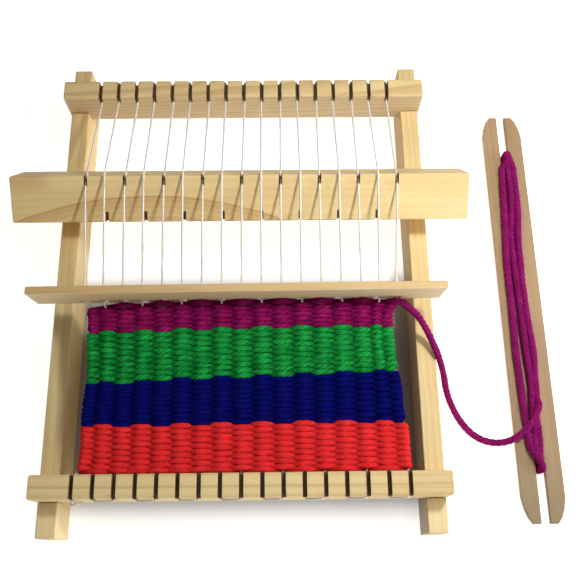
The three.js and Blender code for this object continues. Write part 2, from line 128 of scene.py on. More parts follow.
def through(knots, at):
    """A smooth curve through (place, value) knots: cubic pieces whose slope at a knot is that of its
    neighbours."""
    places, values = np.array(knots, float).T
    slopes = np.gradient(values, places)
    at = np.clip(at, places[0], places[-1])
    piece = np.clip(np.searchsorted(places, at) - 1, 0, len(places) - 2)
    run = places[piece + 1] - places[piece]
    t = (at - places[piece]) / run
    start, end = values[piece], values[piece + 1]
    rise, settle = slopes[piece] * run, slopes[piece + 1] * run
    return (
        start
        + rise * t
        + (3 * (end - start) - 2 * rise - settle) * t**2
        + (2 * (start - end) + rise + settle) * t**3
    )


def lengths_along(path):
    """How far each point of a path is from its start, along it."""
    return np.concatenate([[0.0], np.cumsum(np.linalg.norm(np.diff(path, axis=0), axis=1))])


def evenly(path, step):
    """The same path with points a step apart. What follows x, y and z is a mark that goes with its
    point."""
    along = lengths_along(path[:, :3])
    at = np.linspace(0, along[-1], max(3, int(round(along[-1] / step)) + 1))
    return np.stack([np.interp(at, along, column) for column in path.T], axis=1)


def rounded(corners, bend, steps=6):
    """A route of straight runs whose corners are rounded by a parabola that starts a bend's length before
    each."""
    corners = np.array(corners, float)
    share = np.linspace(0, 1, steps)[:, None]
    route = [corners[:1]]
    for before, corner, after in zip(corners, corners[1:], corners[2:]):
        back, ahead = before - corner, after - corner
        back_run, ahead_run = np.linalg.norm(back), np.linalg.norm(ahead)
        reach = min(bend, 0.45 * back_run, 0.45 * ahead_run)
        start = corner + back / back_run * reach
        end = corner + ahead / ahead_run * reach
        route.append((1 - share) ** 2 * start + 2 * share * (1 - share) * corner + share**2 * end)
    route.append(corners[-1:])
    return np.concatenate(route)


def centripetal(points, step):
    """A curve through all points: Catmull-Rom pieces whose knots are the square roots of the chords
    apart."""
    points = np.array(points, float)
    points = np.concatenate([2 * points[:1] - points[1:2], points, 2 * points[-1:] - points[-2:-1]])
    chord = np.sqrt(np.linalg.norm(np.diff(points, axis=0), axis=1))
    knots = np.concatenate([[0.0], np.cumsum(chord)])
    at = np.linspace(knots[1], knots[-2], 40 * len(points))
    k = np.clip(np.searchsorted(knots, at, side="right") - 1, 1, len(points) - 3)

    def between(i, j, a, b):
        return (a * (knots[j] - at)[:, None] + b * (at - knots[i])[:, None]) / (knots[j] - knots[i])[:, None]

    p0, p1, p2, p3 = (points[k + offset] for offset in (-1, 0, 1, 2))
    a1, a2, a3 = between(k - 1, k, p0, p1), between(k, k + 1, p1, p2), between(k + 1, k + 2, p2, p3)
    b1, b2 = between(k - 1, k + 1, a1, a2), between(k, k + 2, a2, a3)
    return evenly(between(k, k + 1, b1, b2), step)


# Surfaces


class Surface:
    """Points in millimetres with their faces, and the marks that the points carry for the material."""

    def __init__(self):
        self.parts = []
        self.count = 0

    def add(self, points, quads, tris, lay, ridge, swell):
        quads = np.asarray(quads).reshape(-1, 4) + self.count
        tris = np.asarray(tris).reshape(-1, 3) + self.count
        self.parts.append((points, quads, tris, lay, ridge, swell))
        self.count += len(points)

    def made(self, name, material):
        """A smooth mesh object at the origin, with its place in its mesh."""
        points, quads, tris, lay, ridge, swell = (np.concatenate(column) for column in zip(*self.parts))
        mesh = bpy.data.meshes.new(name)
        mesh.vertices.add(len(points))
        mesh.vertices.foreach_set("co", (points * MM).astype(np.float32).ravel())
        sides = np.concatenate([np.full(len(quads), 4), np.full(len(tris), 3)])
        mesh.loops.add(int(sides.sum()))
        mesh.loops.foreach_set("vertex_index", np.concatenate([quads.ravel(), tris.ravel()]).astype(np.int32))
        mesh.polygons.add(len(sides))
        mesh.polygons.foreach_set("loop_start", np.concatenate([[0], np.cumsum(sides)[:-1]]).astype(np.int32))
        mesh.polygons.foreach_set("use_smooth", np.ones(len(sides), bool))
        attribute = mesh.attributes.new("lay", "FLOAT_VECTOR", "POINT")
        attribute.data.foreach_set("vector", lay.astype(np.float32).ravel())
        for mark, values in (("ridge", ridge), ("swell", swell)):
            attribute = mesh.attributes.new(mark, "FLOAT", "POINT")
            attribute.data.foreach_set("value", values.astype(np.float32))
        mesh.update(calc_edges=True)
        mesh.validate()
        mesh.materials.append(material)
        piece = bpy.data.objects.new(name, mesh)
        bpy.context.scene.collection.objects.link(piece)
        return piece


def ply_reach(angle, plies, nest):
    """How far a bundle of round plies reaches at an angle, as a share of its greatest reach: the outer rim
    of a circle set off the middle by nest times its radius, repeated round the bundle."""
    half = math.pi / plies
    a = (angle + half) % (2 * half) - half
    return (nest * np.cos(a) + np.sqrt(1 - (nest * np.sin(a)) ** 2)) / (1 + nest)


def twisted(surface, path, wide, tall, up, plies, pitch, nest, per_ply=3, swell=None):
    """A plied yarn along a path. Its section is an ellipse of half sizes wide and tall times the plies'
    rim, and turns once in each pitch; its rings' points turn with it, so that they follow the plies. The
    ends are domed. A swell is marked on the side that is up, and fades to the other side."""
    along = lengths_along(path)
    tangent = np.gradient(path, along, axis=0)
    tangent /= np.linalg.norm(tangent, axis=1)[:, None]
    side = np.cross(np.broadcast_to(up, path.shape), tangent)
    side /= np.linalg.norm(side, axis=1)[:, None]
    rise = np.cross(tangent, side)
    facets = plies * per_ply
    own = 2 * math.pi * np.arange(facets) / facets
    angle = own[None, :] + (2 * math.pi * along / pitch)[:, None]
    reach = ply_reach(own + math.pi / plies, plies, nest)[None, :]
    wide, tall = np.broadcast_to(wide, along.shape), np.broadcast_to(tall, along.shape)
    out = (
        side[:, None, :] * (wide[:, None] * reach * np.sin(angle))[..., None]
        + rise[:, None, :] * (tall[:, None] * reach * np.cos(angle))[..., None]
    )
    rings = path[:, None, :] + out
    size = (wide + tall) / 2
    ends = np.stack([path[0] - tangent[0] * size[0] * 0.5, path[-1] + tangent[-1] * size[-1] * 0.5])
    count = len(path)
    at = np.arange(count * facets).reshape(count, facets)
    after = np.roll(at, -1, axis=1)
    quads = np.stack([at[:-1], at[1:], after[1:], after[:-1]], axis=-1)
    first, last = count * facets, count * facets + 1
    tris = np.concatenate(
        [
            np.stack([np.full(facets, first), at[0], after[0]], axis=-1),
            np.stack([np.full(facets, last), after[-1], at[-1]], axis=-1),
        ]
    )
    ring_lay = np.stack(
        [
            size[:, None] * np.cos(own)[None, :],
            size[:, None] * np.sin(own)[None, :],
            np.broadcast_to(along[:, None], (count, facets)),
        ],
        axis=-1,
    )
    lay = np.concatenate([ring_lay.reshape(-1, 3), [[0, 0, 0], [0, 0, along[-1]]]])
    ridge = np.concatenate([np.broadcast_to(reach, (count, facets)).ravel(), [1, 1]])
    marked = np.ones((count, facets))
    if swell is not None:
        marked = swell[:, None] * (0.7 + 0.3 * np.cos(angle))
    marked = np.concatenate([marked.ravel(), [0, 0]])
    surface.add(np.concatenate([rings.reshape(-1, 3), ends]), quads, tris, lay, ridge, marked)
    return rings, out


def fuzz(surface, rings, out, number, length, seed, thickness=0.035):
    """Loose fibres: thin three-sided needles that start inside the yarn, leave it at random points, bend
    over and taper to a point."""
    draw = np.random.default_rng(seed)
    ring = draw.integers(1, len(rings) - 1, number)
    facet = draw.integers(0, rings.shape[1], number)
    root = rings[ring, facet]
    way = out[ring, facet]
    way = way / np.linalg.norm(way, axis=1)[:, None]
    ahead = rings[ring, facet] - rings[ring - 1, facet]
    ahead /= np.linalg.norm(ahead, axis=1)[:, None]
    ahead *= draw.choice([-1.0, 1.0], number)[:, None]
    reach = length * draw.uniform(0.35, 1.0, number)[:, None]
    middle = root + reach * (0.55 * way + 0.45 * ahead) + draw.normal(0, 0.12, (number, 3))
    tip = middle + reach * (0.2 * way + 0.9 * ahead) + draw.normal(0, 0.25, (number, 3))
    root = root - 0.35 * way
    across = np.cross(way, ahead)
    across /= np.linalg.norm(across, axis=1)[:, None]
    turns = 2 * math.pi * np.arange(3) / 3
    rim = thickness * (
        np.cos(turns)[None, :, None] * across[:, None, :] + np.sin(turns)[None, :, None] * way[:, None, :]
    )
    points = np.concatenate([root[:, None] + rim, middle[:, None] + 0.8 * rim, tip[:, None]], axis=1)
    points[..., 2] = np.maximum(points[..., 2], thickness)
    start = 7 * np.arange(number)[:, None, None]
    quads = start + np.array([[0, 1, 4, 3], [1, 2, 5, 4], [2, 0, 3, 5]])
    tris = start + np.array([[3, 4, 6], [4, 5, 6], [5, 3, 6], [0, 2, 1]])
    lay = np.repeat(draw.uniform(-40, 40, (number, 3)), 7, axis=0)
    surface.add(points.reshape(-1, 3), quads, tris, lay, np.ones(7 * number), np.ones(7 * number))


# Shader maths


def arithmetic(operation, swapped=False):
    """A method that adds one Math node. A reflected one has its two values swapped."""

    def method(self, *others):
        values = (*others, self) if swapped else (self, *others)
        return self.finish.node("ShaderNodeMath", {"operation": operation}, dict(enumerate(values)))

    return method


class Value:
    """A shader socket that can be reckoned with: each operation on it adds a Math node."""

    def __init__(self, finish, socket):
        self.finish = finish
        self.socket = socket

    __add__ = __radd__ = arithmetic("ADD")
    __mul__ = __rmul__ = arithmetic("MULTIPLY")
    __sub__ = arithmetic("SUBTRACT")
    __rsub__ = arithmetic("SUBTRACT", swapped=True)
    __truediv__ = arithmetic("DIVIDE")
    __abs__ = arithmetic("ABSOLUTE")
    root = arithmetic("SQRT")
    part = arithmetic("FRACT")
    most = arithmetic("MAXIMUM")

    def step(self, low, high):
        """From 0 at low to 1 at high, with a smooth start and end."""
        return self.finish.node(
            "ShaderNodeMapRange",
            {"interpolation_type": "SMOOTHSTEP"},
            {"Value": self, "From Min": low, "From Max": high},
        )


class Finish:
    """A material, and the nodes that make it."""

    def __init__(self, name):
        self.material = bpy.data.materials.new(name)
        self.material.use_nodes = True
        self.tree = self.material.node_tree
        self.shader = self.tree.nodes["Principled BSDF"]

    def put(self, socket, value):
        if isinstance(value, Value):
            self.tree.links.new(value.socket, socket)
        elif isinstance(value, (tuple, list)) and len(value) == 3 and socket.type == "RGBA":
            socket.default_value = (*value, 1.0)
        else:
            socket.default_value = value

    def node(self, kind, settings=None, sockets=None, output=0):
        """A node of a kind: its settings first, then the values or links of its sockets."""
        made = self.tree.nodes.new(kind)
        for name, value in (settings or {}).items():
            setattr(made, name, value)
        for name, value in (sockets or {}).items():
            self.put(made.inputs[name], value)
        return Value(self, made.outputs[output])

    def mix(self, share, one, other):
        """A colour between two others."""
        return self.node("ShaderNodeMix", {"data_type": "RGBA"}, {0: share, 6: one, 7: other}, output=2)

    def vector(self, x, y, z):
        return self.node("ShaderNodeCombineXYZ", None, {0: x, 1: y, 2: z})

    def noise(self, place, scale=1.0, detail=2.0, rough=0.5):
        return self.node(
            "ShaderNodeTexNoise",
            None,
            {"Vector": place, "Scale": scale, "Detail": detail, "Roughness": rough},
        )

    def place(self):
        """The three Object coordinates, in millimetres."""
        coordinates = self.node("ShaderNodeTexCoord", output="Object")
        scaled = self.node("ShaderNodeVectorMath", {"operation": "SCALE"}, {0: coordinates, "Scale": 1 / MM})
        return [self.node("ShaderNodeSeparateXYZ", None, {0: scaled}, output=axis) for axis in range(3)]

    def facing(self):
        """The three parts of the surface's direction, in Object coordinates."""
        normal = self.node("ShaderNodeTexCoord", output="Normal")
        return [self.node("ShaderNodeSeparateXYZ", None, {0: normal}, output=axis) for axis in range(3)]

    def mark(self, name, output="Fac"):
        return self.node("ShaderNodeAttribute", {"attribute_name": name}, output=output)

    def stretched(self, lay, across, along):
        """A place on a yarn, scaled across it and along it."""
        scale = (across, across, along)
        return self.node("ShaderNodeVectorMath", {"operation": "MULTIPLY"}, {0: lay, 1: scale})

    def bump(self, height, strength, distance):
        return self.node(
            "ShaderNodeBump", None, {"Height": height, "Strength": strength, "Distance": distance * MM}
        )

    def done(self, **sockets):
        for name, value in sockets.items():
            self.put(self.shader.inputs[name.replace("_", " ").title().replace("Ior", "IOR")], value)
        return self.material


def yarn_finish(name, deep, middle, bright, sheen, dip_shade_depth, relief):
    """Soft plied yarn: streaks that follow the plies, the brightest of them painted glints; painted shade
    between the plies and in the dips of the weave; and a painted highlight where it swells over a thread."""
    f = Finish(name)
    lay = f.mark("lay", "Vector")
    ridge = f.mark("ridge")
    swell = f.mark("swell")
    streak = f.noise(f.stretched(lay, 1.5, 0.25), 1.0, 3.0, 0.6)
    fine = f.noise(f.stretched(lay, 5.0, 0.8), 1.0, 2.0, 0.6)
    patch = f.noise(f.stretched(lay, 0.1, 0.09))
    tone = streak * 0.6 + fine * 0.4 + patch * 0.25
    colour = f.mix(tone.step(0.5, 0.66), deep, middle)
    # The brightest streaks: painted glints
    colour = f.mix(tone.step(0.64, 0.78), colour, bright)
    # Painted highlight where the yarn swells over a thread
    colour = f.mix(swell.step(0.7, 1.0) * 0.25, colour, bright)
    # Painted shade in the grooves between the plies and in the dips of the weave
    between = (1 - ridge.step(0.75, 0.99)) * 0.75
    dip_shade = (1 - swell.step(0.0, 0.8)) * dip_shade_depth
    colour = f.mix(between.most(dip_shade), colour, deep)
    height = streak * 0.6 + fine * 0.4
    return f.done(
        base_color=colour,
        roughness=0.94 - 0.12 * fine,
        normal=f.bump(height, relief, 0.3),
        sheen_weight=sheen,
        sheen_roughness=0.45,
        sheen_tint=bright,
        specular_ior_level=0.0,
    )


def string_finish(name, deep, middle, bright):
    """Twisted cotton string: pale, with fibres along its plies and painted shade in the grooves between them,
    and painted shade in the slots, in the notches and under the weft."""
    f = Finish(name)
    lay = f.mark("lay", "Vector")
    ridge = f.mark("ridge")
    streak = f.noise(f.stretched(lay, 7.0, 1.1), 1.0, 3.0, 0.6)
    patch = f.noise(f.stretched(lay, 0.3, 0.12))
    tone = streak * 0.7 + patch * 0.3
    colour = f.mix(tone.step(0.3, 0.7), middle, bright)
    # Painted shade in the grooves between the plies
    colour = f.mix((1 - ridge.step(0.7, 0.97)) * 0.7, colour, deep)
    _, y, z = f.place()
    # Painted shade on the string under the weft, in the slots and in the notches
    in_cloth = y.step(-BEAM_INNER, 1.0 - BEAM_INNER) * (1 - y.step(FELL_Y - 4.5, FELL_Y - 3.5))
    reach = abs(y)
    in_slot = reach.step(BEAM_INNER - 0.8, BEAM_INNER + 0.2) * (1 - reach.step(TURN_Y - 1.2, TURN_Y - 0.6))
    dim = in_slot * (0.93 - 0.15 * y.step(-50.0, 50.0))
    along_floor = y.step(NOTCH_FRONT[0] - 0.2, NOTCH_FRONT[0] + 0.4) * (1 - y.step(ARRIS[0], ARRIS[0] + 0.8))
    in_notch = along_floor * (1 - z.step(ARRIS[1] - 1.6, ARRIS[1] - 1.0))
    colour = f.mix(dim.most(in_cloth * 0.85).most(in_notch * 0.9), colour, SLOT_SHADE)
    return f.done(
        base_color=colour,
        roughness=0.85 - 0.1 * streak,
        normal=f.bump(streak, 0.4, 0.12),
        sheen_weight=0.2,
        specular_ior_level=0.25,
    )


def wood_finish(name, tones, grain, pith, ring_gap, slope=0.0, inside=None, figure=None, contrast=1.0):
    """Sanded softwood. Its growth rings are cylinders about a pith line beside the piece, wandering a
    little, and darken slowly to a fine late line; fibres and short flecks run with the grain; ends show cut
    fibres. A figure draws marks of one piece, grain lines and painted light and shade, and inside says where
    saw cuts get painted shade."""
    light, middle, dark = tones
    f = Finish(name)
    x, y, z = f.place()
    along, across = (x, y) if grain == "X" else (y, x)
    facing = f.facing()[0 if grain == "X" else 1]

    def fibres(lengthwise, crosswise, detail=2.0, rough=0.5):
        """Noise with its own scale along the grain and across it."""
        return f.noise(f.vector(along * lengthwise, across * crosswise, z * crosswise), 1.0, detail, rough)

    wave = fibres(0.011, 0.045)
    off = across - pith[0] + along * slope + (wave - 0.5) * (2 * RING_WANDER)
    lift = z - pith[1] + (wave - 0.5) * RING_WANDER
    ring = (off * off + lift * lift).root() / ring_gap
    uneven_gap = f.noise(f.vector(along * 0.004, ring * 0.37, 0.0), 1.0, 1.0)
    cycle = (ring + uneven_gap * 1.6).part()
    late = cycle.step(0.25, 0.93) * (1 - cycle.step(0.93, 1.0))
    fibre = fibres(0.06, 4.5, 3.0, 0.6)
    hair = fibres(0.22, 13.0, 2.0, 0.6)
    fleck = fibres(0.3, 2.6, 1.0)
    broad = fibres(0.016, 0.05)
    end = abs(facing).step(0.6, 0.9)
    colour = f.mix(broad.step(0.3, 0.7), light, middle)
    colour = f.mix(late * (0.55 * contrast) + fibre.step(0.45, 0.8) * (0.28 * contrast), colour, dark)
    colour = f.mix(fleck.step(0.66, 0.76) * 0.25, colour, dark)
    colour = f.mix(end * 0.4, colour, dark)
    if figure is not None:
        colour = figure(f, colour, dark, x, y, z)
    if inside is not None:
        # Painted shade on the walls of the saw cuts
        colour = f.mix(inside(f, x, y, z), colour, SLOT_SHADE)
    rough = 0.56 + 0.14 * fibre - 0.05 * late
    height = fibre * 0.45 + hair * 0.3 - late * 0.25
    relief = f.bump(height, 0.22, 0.12)
    return f.done(base_color=colour, roughness=rough, normal=relief, specular_ior_level=0.35)


def steel_finish(name):
    """Dull zinc on steel: a mottled grey with fine turned lines."""
    f = Finish(name)
    x, y, z = f.place()
    mottle = f.noise(f.vector(x, y, z), 1.6, 3.0)
    lines = f.noise(f.vector(x * 0.6, y * 0.6, z * 14.0), 1.0, 2.0)
    colour = f.mix(mottle.step(0.3, 0.7), ZINC_DARK, ZINC_LIGHT)
    return f.done(
        base_color=colour,
        metallic=1.0,
        roughness=0.3 + 0.18 * mottle + 0.06 * lines,
        normal=f.bump(lines, 0.15, 0.05),
    )


# Settings


def colour_of(name, description, value):
    return bpy.props.FloatVectorProperty(
        name=name, description=description, default=value, size=3, min=0.0, max=1.0, subtype="COLOR"
    )


def length_of(name, description, value):
    return bpy.props.FloatProperty(name=name, description=description, default=value, min=0.0, unit="LENGTH")


def power_of(name, description, value):
    return bpy.props.FloatProperty(name=name, description=description, default=value, min=0.0)


class YarnSettings(bpy.types.PropertyGroup):
    """Sizes and colours of the weft yarn."""

    diameter: length_of("Diameter", "Thickness of the free yarn", 0.0032)
    twist: length_of("Twist", "Length of one turn of the plies", 0.012)
    plies: bpy.props.IntProperty(name="Plies", description="Strands in the yarn", default=4, min=2, max=6)
    red: colour_of("Red", "Colour of the first band", (0.74, 0.026, 0.028))
    blue: colour_of("Blue", "Colour of the second band", (0.0031, 0.0041, 0.108))
    green: colour_of("Green", "Colour of the third band", (0.009, 0.25, 0.04))
    magenta: colour_of("Magenta", "Colour of the last band", (0.212, 0.0053, 0.077))
    plum: colour_of("Plum", "Colour of the free yarn and the shuttle's yarn", (0.23, 0.0085, 0.108))


class WarpSettings(bpy.types.PropertyGroup):
    """Size and colour of the warp string."""

    diameter: length_of("Diameter", "Thickness of the string", STRING * MM)
    twist: length_of("Twist", "Length of one turn of the plies", 0.0055)
    colour: colour_of("Colour", "Colour of the cotton", (0.86, 0.82, 0.74))


class WoodSettings(bpy.types.PropertyGroup):
    """Tones of the wood."""

    pine_light: colour_of("Pine light", "Early wood of the frame", (0.80, 0.62, 0.30))
    pine_middle: colour_of("Pine middle", "Broad darker areas of the frame", (0.74, 0.54, 0.25))
    pine_dark: colour_of("Pine dark", "Late wood of the frame", (0.52, 0.31, 0.12))
    shuttle_light: colour_of("Shuttle light", "Early wood of the shuttle", (0.46, 0.31, 0.165))
    shuttle_dark: colour_of("Shuttle dark", "Late wood of the shuttle", (0.33, 0.19, 0.09))


class StageSettings(bpy.types.PropertyGroup):
    """Camera and light."""

    lens: bpy.props.FloatProperty(name="Lens", description="Focal length", default=49.4367, min=1.0)
    key: power_of("Key light", "Power of the small light above the right side", 0.85)
    side: power_of("Side light", "Power of the soft light from the right", 1.8)
    front: power_of("Front light", "Power of the soft light from the weaver's side", 1.3)
    overhead: power_of("Overhead light", "Power of the wide soft light above", 2.8)
    fill: power_of("Fill", "Strength of the light all round", 0.05)
    glow: power_of("Floor glow", "Light that the floor gives off", 0.8)
    floor: colour_of("Floor", "Colour of the floor", (0.8, 0.8, 0.8))


SETTINGS = {
    "loom_yarn": YarnSettings,
    "loom_warp": WarpSettings,
    "loom_wood": WoodSettings,
    "loom_stage": StageSettings,
}

# How each yarn takes the light: its deep tone, for darker streaks and painted shade, and its bright tone, for
# painted glints and highlights, as shares of its colour; how dark the painted shade in its dips is; and how
# strongly its fibres stand out
DEPTHS = {
    "red": (0.8, 1.25, 0.7, 0.3),
    "blue": (0.6, 1.4, 0.5, 0.3),
    "green": (0.36, 1.9, 0.6, 0.8),
    "magenta": (0.4, 1.8, 0.5, 0.7),
    "plum": (0.36, 1.8, 0.5, 0.7),
}


def shaded(colour, factor):
    return tuple(min(1.0, channel * factor) for channel in colour)


def yarn_material(scene, colour):
    """The finish of one colour of yarn, made once."""
    name = f"plied_{colour}"
    found = bpy.data.materials.get(name)
    if found:
        return found
    tone = tuple(getattr(scene.loom_yarn, colour))
    dark = colour == "blue"
    deep, bright, dip_shade, relief = DEPTHS[colour]
    # Bright tone for the painted glints and the painted highlight over the threads
    glint = tuple(min(1.0, channel * bright + (0.002 if dark else 0.006)) for channel in tone)
    return yarn_finish(name, shaded(tone, deep), tone, glint, 0.0 if dark else 0.12, dip_shade, relief)


# Stage

CAMERA_AT = (LOOM_X * MM + 0.0191939, -0.143860, 0.422049)
CAMERA_TURN = (0.335975, -0.006287, -0.012684)
FLOOR_HALF = 12.0
# Painted shade on the floor under the cloth, where the loom's shadow falls: its colour, and where it fades at
# its sides and ends
FLOOR_SHADE = (0.36, 0.33, 0.31)
SHADE_SIDE, SHADE_LOW, SHADE_HIGH = (92.0, 103.0), (-128.0, -104.0), (-2.0, 18.0)
# Square area lights: where each stands, and how wide it is, in metres
LIGHTS = {
    "key": ((0.16, 0.03, 0.33), 0.05),
    "side": ((0.55, -0.10, 0.15), 0.4),
    "front": ((0.30, -0.70, 0.30), 0.5),
    "overhead": ((0.0, 0.0, 1.1), 1.2),
}
LIT = (LOOM_X * MM, 0.0, 0.03)


class LOOM_OT_stage(bpy.types.Operator):
    """Sets the camera, a pale floor with painted shade under the cloth, and soft light"""

    bl_idname = "loom.stage"
    bl_label = "Stage"

    def execute(self, context):
        scene = context.scene
        settings = scene.loom_stage
        camera = bpy.data.objects.new("camera", bpy.data.cameras.new("camera"))
        camera.location = CAMERA_AT
        camera.rotation_euler = CAMERA_TURN
        camera.data.sensor_width = 36.0
        camera.data.lens = settings.lens
        camera.data.clip_start = 0.01
        scene.collection.objects.link(camera)
        scene.camera = camera

        floor_finish = Finish("floor")
        x, y, _ = floor_finish.place()
        grain = floor_finish.noise(floor_finish.vector(x * 0.2, y * 0.2, 0.0), 1.0, 2.0)
        # Painted shade under the cloth: darker floor colour and no glow there
        by_cloth = 1 - abs(x - LOOM_X).step(*SHADE_SIDE)
        shade = by_cloth * y.step(*SHADE_LOW) * (1 - y.step(*SHADE_HIGH))
        floor_finish.done(
            base_color=floor_finish.mix(shade, tuple(settings.floor), FLOOR_SHADE),
            roughness=0.85 + 0.1 * grain,
            emission_color=floor_finish.mix(shade, (1.0, 1.0, 1.0), (0.0, 0.0, 0.0)),
            emission_strength=settings.glow,
        )
        half = FLOOR_HALF
        mesh = bpy.data.meshes.new("floor")
        corner = [(-half, -half, 0.0), (half, -half, 0.0), (half, half, 0.0), (-half, half, 0.0)]
        mesh.from_pydata(corner, [], [(0, 1, 2, 3)])
        mesh.materials.append(floor_finish.material)
        floor = bpy.data.objects.new("floor", mesh)
        scene.collection.objects.link(floor)

        for name, (place, size) in LIGHTS.items():
            self.light(scene, name, place, getattr(settings, name), size)
        world = bpy.data.worlds.new("studio")
        world.use_nodes = True
        sky = world.node_tree.nodes["Background"].inputs
        sky["Color"].default_value = (1.0, 1.0, 1.0, 1.0)
        sky["Strength"].default_value = settings.fill
        scene.world = world
        scene.view_settings.view_transform = "Standard"
        return {"FINISHED"}

    @staticmethod
    def light(scene, name, place, power, size):
        """A square area light that faces the middle of the loom."""
        lamp = bpy.data.lights.new(name, "AREA")
        lamp.energy = power
        lamp.size = size
        made = bpy.data.objects.new(name, lamp)
        made.location = place
        target = np.array(LIT) - np.array(place)
        made.rotation_euler = (
            math.atan2(math.hypot(target[0], target[1]), -target[2]),
            0.0,
            math.atan2(-target[0], target[1]),
        )
        scene.collection.objects.link(made)


# Cloth

PICKS = {"red": 17, "blue": 18, "green": 18, "magenta": 11}
# The outer threads in the cloth, from the lower beam up: (y, x)
LEFT_THREAD = [
    (-102.5, -79.5),
    (-99, -76.6),
    (-94, -75.7),
    (-75, -75.3),
    (-53, -73.3),
    (-38, -73.9),
    (-26, -74.2),
    (-19, -78.2),
]
RIGHT_THREAD = [
    (-102.5, 79.8),
    (-97, 79.2),
    (-84, 78.7),
    (-74, 76.8),
    (-62, 76.1),
    (-52, 74.3),
    (-35, 73.0),
    (-26, 73.6),
    (-19, 77.4),
]
# The edges of the bands across the loom, from the lower beam up: (x, y)
BAND_EDGES = [
    [(-80, -100.6), (-71, -101.8), (4, -102.0), (80, -101.4)],
    [(-77, -79.6), (-39, -79.7), (4, -79.2), (43, -79.2), (77, -79.5)],
    [(-77, -59.4), (-63, -59.9), (-39, -58.4), (-20, -57.8), (4, -57.4), (43, -56.0), (77, -54.8)],
    [(-77, -35.0), (-50, -34.8), (-20, -33.9), (4, -33.6), (44, -33.2), (77, -33.5)],
    [
        (-77, -24.3), (-70, -22.3), (-58, -21.6), (-40, -20.8),
        (-20, -20.4), (4, -20.2), (44, -20.0), (77, -20.5),
    ],
]
EDGE_GUESS = 78.0
FLOAT_LIFT = 1.55
TURN_REACH = 1.1
# How close the picks of the last band are beaten, and how much wider its last pick is
BEATEN = 0.93
FULLER = 0.4
# How many threads in from each edge the pull reaches
LEFT_PULL, RIGHT_PULL = 2.5, 1.1
# Half sizes of the woven yarn between threads, how it spreads and flattens at one, and how uneven it is
WOVEN_WIDE, WOVEN_TALL = 1.24, 1.15
SPREAD, LAST_SPREAD, FLATTEN = 0.46, 0.25, 0.25
WIDE_SOFT, TALL_SOFT = 0.10, 0.07
STRAY_Y, STRAY_Z, STRAY_RUN = 0.15, 0.14, 5.0
BEAM_GAP = 0.1


def thread_x(number, y):
    """Where a thread is across the loom in the cloth: a pitch from the next one, but for those at the
    edges, which the weft draws in. The pull dies away slowly from the left edge, and as a bell curve from
    the right one."""
    last = THREADS - 1
    half = PITCH * last / 2
    pull_right = (through(LEFT_THREAD, y) + half) * np.exp(-number / LEFT_PULL)
    pull_left = (half - through(RIGHT_THREAD, y)) * np.exp(-(((last - number) / RIGHT_PULL) ** 2))
    return LOOM_X + PITCH * number - half + pull_right - pull_left


def pick_place(share, lower, upper, level):
    """A pick's centreline across the cloth, without its over and under: x and y for a share of the width
    from left to right, at a level between the lower and the upper edge of its band."""
    guess = EDGE_GUESS * (2 * share - 1)
    y = through(lower, guess) + (through(upper, guess) - through(lower, guess)) * level
    return thread_x(share * (THREADS - 1), y), y


def band_path(colour):
    """One yarn that goes to and fro: each pick rises and falls as a cosine that turns over at every thread,
    the next pick the other way up, and half an ellipse round the outer thread joins them. The last pick of
    all isn't beaten in as far as the others. With each point comes its swell, from 1 over a thread to -1
    under one."""
    order = list(PICKS)
    place = order.index(colour)
    picks = PICKS[colour]
    above = sum(PICKS[later] for later in order[place + 1 :])
    lower, upper = BAND_EDGES[place], BAND_EDGES[place + 1]
    number = np.arange(picks)[:, None]
    level = (number + 0.5) / picks
    if above == 0:
        level[:-1] *= BEATEN
    sign = np.where((above + picks - 1 - number) % 2 == 0, 1.0, -1.0)
    to_right = (picks - 1 - number) % 2 == 0
    share = np.linspace(0, 1, 16 * (THREADS - 1) + 1)[None, :]
    share = np.where(to_right, share, 1 - share)
    x, y = pick_place(share, lower, upper, level)
    swell = sign * np.cos(math.pi * (THREADS - 1) * share)
    runs = np.stack([x, y, warp_height(y) + FLOAT_LIFT * swell, swell], axis=-1)

    turn = np.linspace(0, math.pi, 9)[None, 1:-1]
    end = np.where(to_right, 1.0, 0.0)
    x0, y0 = pick_place(end, lower, upper, level)
    x1, y1 = pick_place(end, lower, upper, level + 1 / picks)
    share = turn / math.pi
    outward = np.where(to_right, 1.0, -1.0)
    x = x0 + (x1 - x0) * share + outward * TURN_REACH * np.sin(turn)
    y = y0 + (y1 - y0) * share
    swell = sign * np.cos(turn)
    turns = np.stack([x, y, warp_height(y) + FLOAT_LIFT * swell, swell], axis=-1)
    route = np.concatenate([runs, turns], axis=1).reshape(-1, 4)
    return route[: -turns.shape[1]]


def uneven(along, seed, run=7.0):
    """A soft unevenness along a yarn, from -1 to 1: random knots a run apart, smoothly joined."""
    draw = np.random.default_rng(seed)
    knots = np.arange(0, along[-1] + 2 * run, run)
    return through(np.stack([knots, draw.uniform(-1, 1, len(knots))], axis=1), along)


